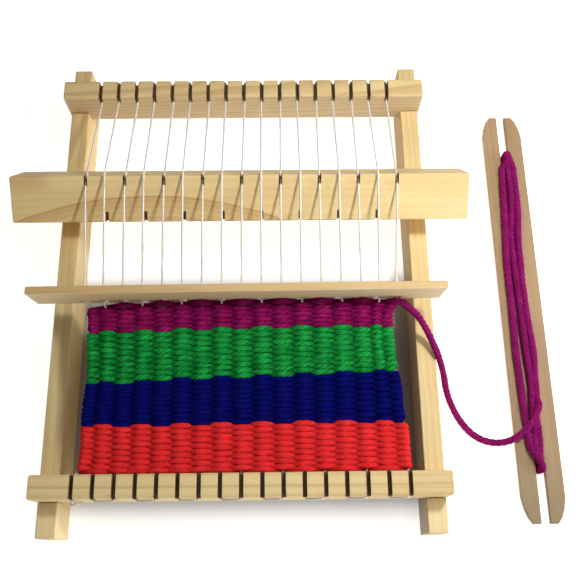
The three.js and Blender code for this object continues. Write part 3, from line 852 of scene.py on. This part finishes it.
class LOOM_OT_cloth(bpy.types.Operator):
    """Weaves the four bands, each from one yarn"""

    bl_idname = "loom.cloth"
    bl_label = "Cloth"

    def execute(self, context):
        scene = context.scene
        yarn = scene.loom_yarn
        for seed, colour in enumerate(PICKS):
            woven = evenly(band_path(colour), YARN_STEP)
            path, swell = woven[:, :3], woven[:, 3]
            spaced = lengths_along(path)
            soft = uneven(spaced, seed + 10)
            path[:, 1] += STRAY_Y * uneven(spaced, seed + 20, STRAY_RUN)
            path[:, 2] += STRAY_Z * uneven(spaced, seed + 30, STRAY_RUN)
            last = colour == "magenta"
            wide = WOVEN_WIDE + (LAST_SPREAD if last else SPREAD) * swell**2 + WIDE_SOFT * soft
            tall = WOVEN_TALL - FLATTEN * swell**2 + TALL_SOFT * soft
            if last:
                wide = wide + FULLER * (spaced > spaced[-1] * (1 - 1 / PICKS[colour]))
            path[:, 1] = np.maximum(path[:, 1], wide + BEAM_GAP - BEAM_INNER)
            surface = Surface()
            turn = yarn.twist / MM
            rings, out = twisted(surface, path, wide, tall, UP, yarn.plies, turn, YARN_NEST, swell=swell)
            fuzz(surface, rings, out, 6500, 1.25, seed + 40, 0.05)
            band = surface.made(f"woven_{colour}", yarn_material(scene, colour))
            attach(band, "frame")
            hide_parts(f"weft_band_{colour}")
        return {"FINISHED"}


# Free yarn

TAIL_ROUTE = [
    (83.5, -23.2, 45.2),
    (88.6, -26.0, 40.4),
    (93.0, -30.6, 35.2),
    (96.8, -36.4, 30.6),
    (99.9, -42.6, 27.6),
    (102.6, -48.0, 22.0),
    (105.2, -52.0, 13.6),
    (107.4, -56.2, 5.6),
    (109.6, -62.4, 2.1),
    (113.4, -71.4, 1.75),
    (119.0, -79.0, 1.75),
    (125.6, -83.6, 2.9),
    (132.4, -85.4, 6.0),
    (138.8, -84.4, 9.4),
    (145.0, -80.4, 12.1),
    (150.2, -74.6, 12.2),
]
WINDING_END = [(1.9, -58.0, 5.32), (1.9, -54.16, 3.4), (1.9, -50.0, 3.4)]
EXIT_Y, EXIT_INSET, EXIT_RISE = -22.1, 0.2, (1.2, 0.3, 0.5)
TAIL_UP = (-0.4, 0.6, -0.69)
TAIL_FULL, TAIL_SOFT = 1.14, 0.05
FLAT_RUN, FLAT_DEPTH = 6.0, 0.5


def on_shuttle(points):
    """From the shuttle's own middle to the loom's."""
    return np.array(points, float) + SHUTTLE_AT


class LOOM_OT_free_yarn(bpy.types.Operator):
    """Lays the free yarn from the last pick over the right upright and the table to the shuttle"""

    bl_idname = "loom.free_yarn"
    bl_label = "Free yarn"

    def execute(self, context):
        scene = context.scene
        yarn = scene.loom_yarn
        low, _ = corners_of("weft_tail")
        shift = np.array([LOOM_X, 0.0, 0.0])
        exit_at = np.array([low[0] + EXIT_INSET, EXIT_Y, warp_height(EXIT_Y)])
        last_pick = band_path("magenta")[-1, :3]
        start = [last_pick, exit_at + EXIT_RISE]
        route = np.concatenate([start, np.array(TAIL_ROUTE) + shift, on_shuttle(WINDING_END)])
        path = centripetal(route, YARN_STEP)
        radius = yarn.diameter / MM / 2 * (TAIL_FULL + TAIL_SOFT * uneven(lengths_along(path), 5))
        path[:, 2] = np.maximum(path[:, 2], radius)
        spaced = lengths_along(path)
        tall = radius - FLAT_DEPTH * np.clip(1 - spaced / FLAT_RUN, 0, 1)
        surface = Surface()
        turn = yarn.twist / MM
        rings, out = twisted(surface, path, radius, tall, TAIL_UP, yarn.plies, turn, YARN_NEST, per_ply=4)
        fuzz(surface, rings, out, 520, 1.2, 6)
        tail = surface.made("free_yarn", yarn_material(scene, "plum"))
        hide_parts("weft_tail")
        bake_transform(tail)
        return {"FINISHED"}


# Winding

FAN = 66.3
UPPER_PASS, LOWER_PASS = (86.0, 88.4, 90.8), (-83.0, -86.8, -90.6)
BACK_TOP = (-4.9, -0.95, 3.0)
BACK_LOW = (-7.2, -3.0, 2.9)
STRAND_LIFT = 3.4
PILE = 1.5
FRONT_TOP, FRONT_LOW, LAST_END = 82.5, -80.0, -50.0
FIRST_END = [(0.1, -59.0, 2.9), (0.8, -72.0, 3.2)]
WOUND_BEND, WOUND_STEP = 1.6, 0.8
WOUND_STRAY, WOUND_FULL, WOUND_SOFT = 0.15, 1.24, 0.08
# Where the front strands lie across the shuttle, from its lower end up: (y, x)
FRONT_STRANDS = [
    [
        (-80, -4.4), (-66, -5.3), (-46, -6.0), (-26, -6.4), (0, -6.1),
        (23, -6.1), (40, -5.1), (58, -4.1), (82.5, -2.9),
    ],
    [
        (-80, -1.6), (-66, -1.5), (-46, -0.4), (-26, -1.2), (0, -1.6),
        (23, -2.0), (40, -2.1), (58, 0.3), (82.5, 0.4),
    ],
    [
        (-66, 1.9), (-50, 1.9), (-31, 2.7), (-12, 1.9), (0, 1.4),
        (23, 1.4), (40, 2.0), (58, 3.5), (82.5, 3.6),
    ],
]


def front_strand(k, lowest):
    """One strand down the front of the shuttle."""
    y = np.linspace(FRONT_TOP, lowest, 24)
    return [(x, place, STRAND_LIFT) for x, place in zip(through(FRONT_STRANDS[k], y), y)]


def winding_corners():
    """Three turns wound lengthwise through the end slots, from an end that is tucked under on the front.
    Each pass through a slot lies further out than the last, and the strands pile up where they run
    together."""
    route = list(FIRST_END)
    lowest = (FRONT_LOW, FRONT_LOW, LAST_END)
    for k, (low, far) in enumerate(zip(LOWER_PASS, UPPER_PASS)):
        piled = STRAND_LIFT + PILE * k
        route += [(0.0, low, piled), (0.0, low, -STRAND_LIFT)]
        route += [(BACK_LOW[k], -FAN, -STRAND_LIFT), (BACK_TOP[k], FAN, -STRAND_LIFT)]
        route += [(0.0, far, -STRAND_LIFT), (0.0, far, piled)]
        route += front_strand(k, lowest[k])
    return route


class LOOM_OT_winding(bpy.types.Operator):
    """Winds the yarn on the shuttle"""

    bl_idname = "loom.winding"
    bl_label = "Winding"

    def execute(self, context):
        scene = context.scene
        yarn = scene.loom_yarn
        path = on_shuttle(evenly(rounded(winding_corners(), WOUND_BEND), WOUND_STEP))
        spaced = lengths_along(path)
        path[:, 0] += WOUND_STRAY * uneven(spaced, 9, 11.0)
        soft = uneven(spaced, 7, 9.0)
        radius = yarn.diameter / MM / 2 * (WOUND_FULL + WOUND_SOFT * soft)
        path[:, 2] = np.maximum(path[:, 2], radius)
        surface = Surface()
        up, turn = (1.0, 0.0, 0.0), yarn.twist / MM
        rings, out = twisted(surface, path, radius, radius, up, yarn.plies, turn, YARN_NEST, per_ply=4)
        fuzz(surface, rings, out, 9000, 2.0, 8, 0.045)
        winding = surface.made("wound_yarn", yarn_material(scene, "plum"))
        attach(winding, "shuttle")
        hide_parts("shuttle_winding")
        return {"FINISHED"}


# Warp

PAIR_SHIFT = 0.4
KNOT_DROP = 5.2
LAST_PICK_Y, LAST_PICK_RISE, LAST_PICK_HALF = -21.0, 1.2, 1.3
NOTCH_OVERLAP = 2.1
STRING_UP = (0.31, 0.0, 0.95)
KNOT_UP, HANG_UP, KNOT_TWIST = (0.13, 0.97, 0.2), (0.31, 0.95, 0.05), 5.5


def slot_x(number):
    return LOOM_X + (number - (THREADS - 1) / 2) * PITCH


def upper_x(number):
    """A thread in its slot of the upper beam, drawn towards the thread that it makes a loop with."""
    lone = number == THREADS - 1
    return slot_x(number) + (0.0 if lone else PAIR_SHIFT if number % 2 == 0 else -PAIR_SHIFT)


def lower_x(number):
    """The same in the lower beam, where the loops join the other pairs."""
    return slot_x(number) + (0.0 if number == 0 else -PAIR_SHIFT if number % 2 == 0 else PAIR_SHIFT)


def cloth_run(number):
    """A thread from the lower beam's inner edge to the fell, in the warp's plane. Odd ones rise over the
    last pick."""
    y = np.linspace(-BEAM_INNER, FELL_Y, 120)
    x = thread_x(number, y)
    x[0] = lower_x(number)
    over_last = np.exp(-(((y - LAST_PICK_Y) / LAST_PICK_HALF) ** 2)) * (LAST_PICK_RISE if number % 2 else 0.0)
    return np.stack([x, y, warp_height(y) + over_last], axis=1)


def fell_point(number):
    return (thread_x(number, np.array(FELL_Y)), FELL_Y, warp_height(FELL_Y))


class LOOM_OT_warp(bpy.types.Operator):
    """Strings the warp: the fixed loops and cloth threads, and the threads to and from the heddle bar"""

    bl_idname = "loom.warp"
    bl_label = "Warp"

    def execute(self, context):
        scene = context.scene
        base = tuple(scene.loom_warp.colour)
        cotton = string_finish("warp_cotton", shaded(base, 0.78), base, shaded(base, 1.1))
        fixed = Surface()
        for route in self.fixed_routes():
            self.string(scene, fixed, route)
        self.knot(scene, fixed, lower_x(0), -1, 1)
        self.knot(scene, fixed, upper_x(THREADS - 1), 1, 2)
        piece = fixed.made("warp_string_fixed", cotton)
        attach(piece, "frame")
        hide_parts("warp_string")

        fell = (LOOM_X * MM, FELL_Y * MM, warp_height(FELL_Y) * MM)
        beam = (LOOM_X * MM, BEAM_INNER * MM, TURN_Z * MM)
        lift, sink = math.radians(20), math.radians(30)
        # Each group of threads, with the share of its height that it keeps when the bar is turned
        groups = [
            ("warp_low_front", 0, True, fell, (0.0, -math.sin(lift), math.cos(lift)), 0.74),
            ("warp_low_back", 0, False, beam, (0.0, math.sin(sink), math.cos(sink)), 0.73),
            ("warp_high_front", 1, True, fell, (0.0, 0.0, 1.0), 0.76),
            ("warp_high_back", 1, False, beam, (0.0, 0.0, 1.0), 0.8862),
        ]
        for name, first, front, anchor, axis, keep in groups:
            surface = Surface()
            for number in range(first, THREADS, 2):
                self.string(scene, surface, self.shed_route(number, front))
            piece = surface.made(name, cotton)
            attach(piece, "frame")
            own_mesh(piece)
        return {"FINISHED"}

    @staticmethod
    def string(scene, surface, route):
        settings = scene.loom_warp
        radius = settings.diameter / MM / 2
        path = evenly(route, STRING_STEP)
        turn = settings.twist / MM
        twisted(surface, path, radius, radius, STRING_UP, STRING_PLIES, turn, STRING_NEST)

    @staticmethod
    def fixed_routes():
        """From the fell down a thread, round the lower beam's outer edge and up the next one; the loops
        round the upper beam's outer edge; and the two ends, which go over an outer face to their knots."""
        routes = []
        x = lower_x(0)
        end = [(x, -TURN_Y, TURN_Z - KNOT_DROP + 1.0), (x, -TURN_Y, TURN_Z)]
        routes.append(rounded(np.concatenate([end, cloth_run(0)]), 0.9))
        for number in range(1, THREADS - 1, 2):
            corners = [(lower_x(n), -TURN_Y, TURN_Z) for n in (number, number + 1)]
            run = np.concatenate([cloth_run(number)[::-1], corners, cloth_run(number + 1)])
            routes.append(rounded(run, 1.3))
        for number in range(0, THREADS - 2, 2):
            left, right = upper_x(number), upper_x(number + 1)
            loop = [
                (left, BEAM_INNER, TURN_Z),
                (left, TURN_Y, TURN_Z),
                (right, TURN_Y, TURN_Z),
                (right, BEAM_INNER, TURN_Z),
            ]
            routes.append(rounded(loop, 1.3))
        x = upper_x(THREADS - 1)
        end = [(x, BEAM_INNER, TURN_Z), (x, TURN_Y, TURN_Z), (x, TURN_Y, TURN_Z - KNOT_DROP + 1.0)]
        routes.append(rounded(end, 0.9))
        return routes

    @staticmethod
    def shed_route(number, front):
        """A thread between the fell and the heddle bar, or between the bar and the upper beam. Even threads
        lie on the floor of a notch, where the two runs overlap so that they still meet when the bar is
        turned."""
        x = slot_x(number)
        fell = fell_point(number)
        beam = (upper_x(number), BEAM_INNER, TURN_Z)
        if number % 2 == 1:
            whole = rounded([fell, (x, *LAND), beam], 1.6, 12)
            before = whole[:, 1] <= LAND[0]
            peak = np.array([[x, LAND[0], np.interp(LAND[0], whole[:, 1], whole[:, 2])]])
            if front:
                return np.concatenate([whole[before], peak])
            return np.concatenate([peak, whole[~before]])
        whole = rounded([fell, (x, *NOTCH_FRONT), (x, *NOTCH_BACK), beam], 1.3)
        middle = (NOTCH_FRONT[0] + NOTCH_BACK[0]) / 2
        cut = middle + (NOTCH_OVERLAP if front else -NOTCH_OVERLAP)
        edge = np.array([[x, cut, np.interp(cut, whole[:, 1], whole[:, 2])]])
        if front:
            return np.concatenate([whole[whole[:, 1] < cut], edge])
        return np.concatenate([edge, whole[whole[:, 1] > cut]])

    @staticmethod
    def knot(scene, surface, x, end, seed):
        """A small knot: a string along a trefoil, and a short cut end that hangs from it."""
        radius = scene.loom_warp.diameter / MM / 2
        t = np.linspace(0, 2 * math.pi, 90)
        reach = 1.0 + 0.45 * np.cos(3 * t)
        middle = np.array([x, end * (TURN_Y + 0.7), TURN_Z - KNOT_DROP])
        trefoil = np.stack([reach * np.cos(2 * t), 0.6 * np.sin(3 * t), reach * np.sin(2 * t)], axis=1)
        tight = radius * 0.95
        twisted(surface, trefoil + middle, tight, tight, KNOT_UP, STRING_PLIES, KNOT_TWIST, STRING_NEST)
        t = np.linspace(0, 1, 24)
        hang = np.stack([0.8 + 1.2 * t, -end * 1.6 * t**2, -1.0 - 6.0 * t], axis=1)
        path = evenly(hang + middle, STRING_STEP)
        rings, out = twisted(surface, path, radius, radius, HANG_UP, STRING_PLIES, KNOT_TWIST, STRING_NEST)
        fuzz(surface, rings[-4:], out[-4:], 24, 1.2, seed, 0.03)


# Wood

# Redder wood of the heddle bar's arch, painted shade on the comb's spine, painted shade on a beam's front
WARM_WOOD, SPINE_SHADE_TONE, FRONT_SHADE_TONE = (0.60, 0.35, 0.13), (0.55, 0.32, 0.13), (0.38, 0.29, 0.22)
# Painted light on the comb's front face and on the uprights' feet
COMB_LIGHT_TONE, FOOT_LIGHT_TONE = (0.95, 0.78, 0.50), (0.97, 0.81, 0.48)
# Painted shade on the right upright's left face by the cloth, and the shuttle's greyer lower end
CLOTH_SHADE_TONE, GREY_WOOD = (0.26, 0.18, 0.15), (0.27, 0.22, 0.12)
# The arch on the heddle bar: where along the bar it peaks, how it curves, its top line and the lines' gap
ARCH_PEAK, ARCH_CURVE, ARCH_TOP, ARCH_GAP = -48.0, 0.0027, 13.3, 2.9
LINE_INSET = 5.2


def slot_wall_shade(f, x, y, z):
    """Painted shade on the walls of the warp's slots: nearly 1 in the lower beam, and less in the upper one,
    which is open to the light."""
    off = abs(((x - (slot_x(0) - PITCH / 2)) / PITCH).part() - 0.5) * PITCH
    near = 1 - off.step(1.02, 1.1)
    within = z.step(SLOT_FLOOR - 0.1, SLOT_FLOOR) * (1 - abs(x - LOOM_X).step(*SLOTS_REACH))
    return near * within * (0.95 - 0.4 * y.step(-50.0, 50.0))


def heddle_axes(y, z):
    """A place in the heddle bar's own axes: across its two upper faces, from the middle."""
    across = (y - HEDDLE_Y) * TILT_COS + (z - HEDDLE_Z) * TILT_SIN
    up = (z - HEDDLE_Z) * TILT_COS - (y - HEDDLE_Y) * TILT_SIN
    return across, up


def notch_wall_shade(f, x, y, z):
    """Painted shade on the heddle bar's notch walls: nearly 1 under its faces and within a notch's width."""
    across, up = heddle_axes(y, z)
    deep = abs(across).most(abs(up))
    half = HEDDLE_SIDE / 2
    return (1 - deep.step(half - 0.35, half - 0.1)) * (1 - abs(x - LOOM_X).step(*SLOTS_REACH)) * 0.95


def heddle_arch(f, colour, dark, x, y, z):
    """The broad arch on the bar's face: parabolas about one place, the topmost a clear line with redder
    wood and fainter lines under it, and a darker patch by the arris at the left end."""
    across, _ = heddle_axes(y, z)
    place = x - LOOM_X
    ripple = f.noise(f.vector(x * 0.03, across * 0.2, 0.0), 1.0, 2.0)
    from_peak = place - ARCH_PEAK
    level = across + HEDDLE_SIDE / 2 + from_peak * from_peak * ARCH_CURVE + (ripple - 0.5) * 1.4
    below = 1 - level.step(12.9, 13.8)
    line = 1 - abs(level - ARCH_TOP).step(0.1, 0.9)
    near = level.step(5.0, 13.0)
    arcs = (level / ARCH_GAP).part().step(0.3, 0.95)
    colour = f.mix(below * (0.3 + 0.35 * near), colour, WARM_WOOD)
    colour = f.mix(line * 0.7 + below * arcs * 0.25, colour, dark)
    patch = (1 - place.step(-106.0, -94.0)) * across.step(2.0, 9.0)
    return f.mix(patch * 0.5, colour, dark)


def lower_line(f, colour, dark, x, y, z):
    """A tan line along the middle of the lower beam."""
    ripple = f.noise(f.vector(x * 0.02, 0.0, 0.0), 1.0, 2.0)
    off = abs(y - (LOWER[0][1] + LINE_INSET) - (ripple - 0.5) * 2.0)
    return f.mix((1 - off.step(0.2, 0.9)) * 0.4, colour, dark)


def front_painted_shade(f, colour, dark, x, y, z):
    """Painted shade: greyer colour on the side of a beam that faces the weaver."""
    return f.mix((-1 * f.facing()[1]).step(0.5, 0.9) * 0.45, colour, FRONT_SHADE_TONE)


def comb_light_and_shade(f, colour, dark, x, y, z):
    """Painted shade along the top of the comb, fading to the right, and painted light on the side that faces
    the weaver, growing to the right.
    """
    _, front, top = f.facing()
    to_right = (x - LOOM_X).step(-70.0, 70.0)
    colour = f.mix(top.step(0.75, 0.95) * (0.6 - 0.3 * to_right), colour, SPINE_SHADE_TONE)
    pale = (-1 * front).step(0.3, 0.8) * (0.2 + 0.4 * to_right)
    return f.mix(pale, colour, COMB_LIGHT_TONE)


def foot_painted_light(f, colour, dark, x, y, z):
    """Painted light: paler where an upright stands out below the lower beam."""
    return f.mix((1 - y.step(LOWER[0][1] - 5.0, LOWER[0][1])) * 0.45, colour, FOOT_LIGHT_TONE)


def foot_light_left_shade(f, colour, dark, x, y, z):
    """Painted light on the foot, and painted shade on the side of a bar that faces left, darker and greyer by
    the cloth.
    """
    colour = foot_painted_light(f, colour, dark, x, y, z)
    left = (-1 * f.facing()[0]).step(0.5, 0.9)
    by_cloth = 1 - y.step(FELL_Y - 5.0, FELL_Y + 5.0)
    shade_tone = f.mix(by_cloth, shaded(dark, 0.7), CLOTH_SHADE_TONE)
    return f.mix(left * (0.65 + 0.1 * by_cloth), colour, shade_tone)


def grey_end(f, colour, dark, x, y, z):
    """Greyer wood at the shuttle's lower end."""
    return f.mix((1 - y.step(-125.0, -70.0)) * 0.6, colour, GREY_WOOD)


def pine(scene, factor=1.0):
    """The light, middle and dark tone of the frame's wood."""
    wood = scene.loom_wood
    return [shaded(tuple(tone), factor) for tone in (wood.pine_light, wood.pine_middle, wood.pine_dark)]


def dress(node, material, bevel=0.35):
    """Gives a CAD node its material, and modifiers that weld it, make its flats whole and round its
    edges."""
    piece = frame["nodes"][node]
    piece.data.materials.clear()
    piece.data.materials.append(material)
    if not bevel:
        return
    weld = piece.modifiers.new("weld", "WELD")
    weld.merge_threshold = 0.01 * MM
    flats = piece.modifiers.new("flats", "DECIMATE")
    flats.decimate_type = "DISSOLVE"
    flats.angle_limit = math.radians(1.5)
    edge = piece.modifiers.new("edge", "BEVEL")
    edge.width = bevel * MM
    edge.segments = 2
    edge.limit_method = "ANGLE"
    edge.angle_limit = math.radians(40)
    edge.harden_normals = True


# How the frame's pieces are cut: the pith beside an upright, and its figure, which paints light and shade,
# but draws a grain line on the lower beam; for a beam also the gap between its rings, the slope of its grain,
# and how strongly it shows
UPRIGHT_CUTS = {
    "left_upright": ((LOOM_X - 60.0, -22.0), foot_painted_light),
    "right_upright": ((LOOM_X + 46.0, -30.0), foot_light_left_shade),
}
BEAM_CUTS = {
    "upper_beam": ((82.0, -18.0), 3.4, -0.1, front_painted_shade, 0.9),
    "lower_beam": ((-78.0, -30.0), 2.4, 0.01, lower_line, 0.4),
}


class LOOM_OT_frame_wood(bpy.types.Operator):
    """Finishes the uprights, the beams and the screws"""

    bl_idname = "loom.frame_wood"
    bl_label = "Frame"

    def execute(self, context):
        tones = pine(context.scene)
        for node, (pith, figure) in UPRIGHT_CUTS.items():
            material = wood_finish(f"pine_{node}", tones, "Y", pith, 2.6, 0.012, None, figure, 0.45)
            dress(node, material)
        for node, (pith, ring_gap, slope, figure, contrast) in BEAM_CUTS.items():
            material = wood_finish(
                f"pine_{node}", tones, "X", pith, ring_gap, slope, slot_wall_shade, figure, contrast
            )
            dress(node, material)
        steel = steel_finish("zinc_steel")
        for end in ("upper", "lower"):
            for side in ("left", "right"):
                dress(f"{end}_{side}_screw", steel, 0)
        return {"FINISHED"}


class LOOM_OT_heddle(bpy.types.Operator):
    """Finishes the heddle bar"""

    bl_idname = "loom.heddle"
    bl_label = "Heddle bar"

    def execute(self, context):
        tones, pith = pine(context.scene), (8.0, -60.0)
        material = wood_finish("pine_heddle", tones, "X", pith, 3.2, 0.0, notch_wall_shade, heddle_arch, 0.22)
        dress("heddle_bar", material)
        return {"FINISHED"}


class LOOM_OT_comb(bpy.types.Operator):
    """Finishes the comb"""

    bl_idname = "loom.comb"
    bl_label = "Comb"

    def execute(self, context):
        tones, pith = pine(context.scene, 0.9), (-30.0, 4.0)
        material = wood_finish("pine_comb", tones, "X", pith, 2.0, 0.006, None, comb_light_and_shade, 0.7)
        dress("beater_comb", material)
        return {"FINISHED"}


class LOOM_OT_shuttle(bpy.types.Operator):
    """Finishes the stick shuttle"""

    bl_idname = "loom.shuttle"
    bl_label = "Shuttle"

    def execute(self, context):
        wood = context.scene.loom_wood
        light, dark = tuple(wood.shuttle_light), tuple(wood.shuttle_dark)
        tones = (light, shaded(light, 0.86), dark)
        pith = (SHUTTLE_AT[0] + 14.0, -16.0)
        material = wood_finish("slat_shuttle", tones, "Y", pith, 2.4, 0.02, None, grey_end, 0.55)
        dress("stick_shuttle", material)
        return {"FINISHED"}


ORDER = (
    LOOM_OT_stage,
    LOOM_OT_free_yarn,
    LOOM_OT_cloth,
    LOOM_OT_warp,
    LOOM_OT_winding,
    LOOM_OT_frame_wood,
    LOOM_OT_heddle,
    LOOM_OT_comb,
    LOOM_OT_shuttle,
)


class LOOM_PT_pieces(bpy.types.Panel):
    """Lists the loom's pieces"""

    bl_idname = "LOOM_PT_pieces"
    bl_label = "Frame loom"
    bl_space_type = "VIEW_3D"
    bl_region_type = "UI"
    bl_category = "Loom"

    def draw(self, context):
        for operator in ORDER:
            self.layout.operator(operator.bl_idname)
        for name, group in SETTINGS.items():
            box = self.layout.box()
            for field in group.__annotations__:
                box.prop(getattr(context.scene, name), field)


CLASSES = (*SETTINGS.values(), *ORDER, LOOM_PT_pieces)


def register():
    for item in CLASSES:
        bpy.utils.register_class(item)
    for name, group in SETTINGS.items():
        setattr(bpy.types.Scene, name, bpy.props.PointerProperty(type=group))


def unregister():
    for name in SETTINGS:
        delattr(bpy.types.Scene, name)
    for item in reversed(CLASSES):
        bpy.utils.unregister_class(item)


def main():
    register()
    for operator in ORDER:
        family, name = operator.bl_idname.split(".")
        getattr(getattr(bpy.ops, family), name)()


if __name__ == "__main__":
    main()
